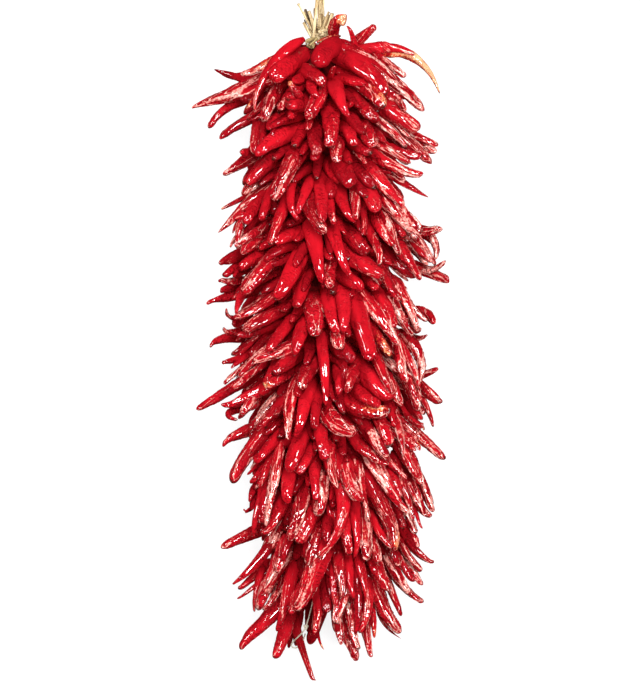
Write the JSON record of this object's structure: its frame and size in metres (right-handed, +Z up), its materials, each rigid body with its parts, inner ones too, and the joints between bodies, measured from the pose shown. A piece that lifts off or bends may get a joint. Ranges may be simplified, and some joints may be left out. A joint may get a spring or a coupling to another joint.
{
  "type": "string of dried chillies",
  "caption": "Hanging string of dried red chillies with a straw tuft and a twine loop at its top, lying on its back, shown side up.",
  "frame": {"origin": "on the floor under the middle of the string without its hanging loop and thread", "axes": "+Y along the string towards its hanging end, +Z up out of the side that shows when it hangs, +X to the right of that side"},
  "size_m": [0.351, 1.0228, 0.2235],
  "materials": {
    "chilli_skin": "glossy, wrinkled",
    "straw": "matte, fibrous",
    "twine": "matte, twisted",
    "thread": "matte, twisted"
  },
  "bodies": {
    "root": {"chilli_bundle": "chilli_skin", "tuft_tie": "straw", "tie_knot": "straw", "straw_stalk_01": "straw", "straw_stalk_02": "straw", "straw_stalk_03": "straw", "straw_stalk_04": "straw", "straw_stalk_05": "straw", "straw_stalk_06": "straw", "straw_stalk_07": "straw", "straw_stalk_08": "straw", "straw_stalk_09": "straw", "straw_stalk_10": "straw", "straw_stalk_11": "straw", "straw_stalk_12": "straw", "hanging_loop": "twine", "tail_thread": "thread"}
  },
  "joints": []
}
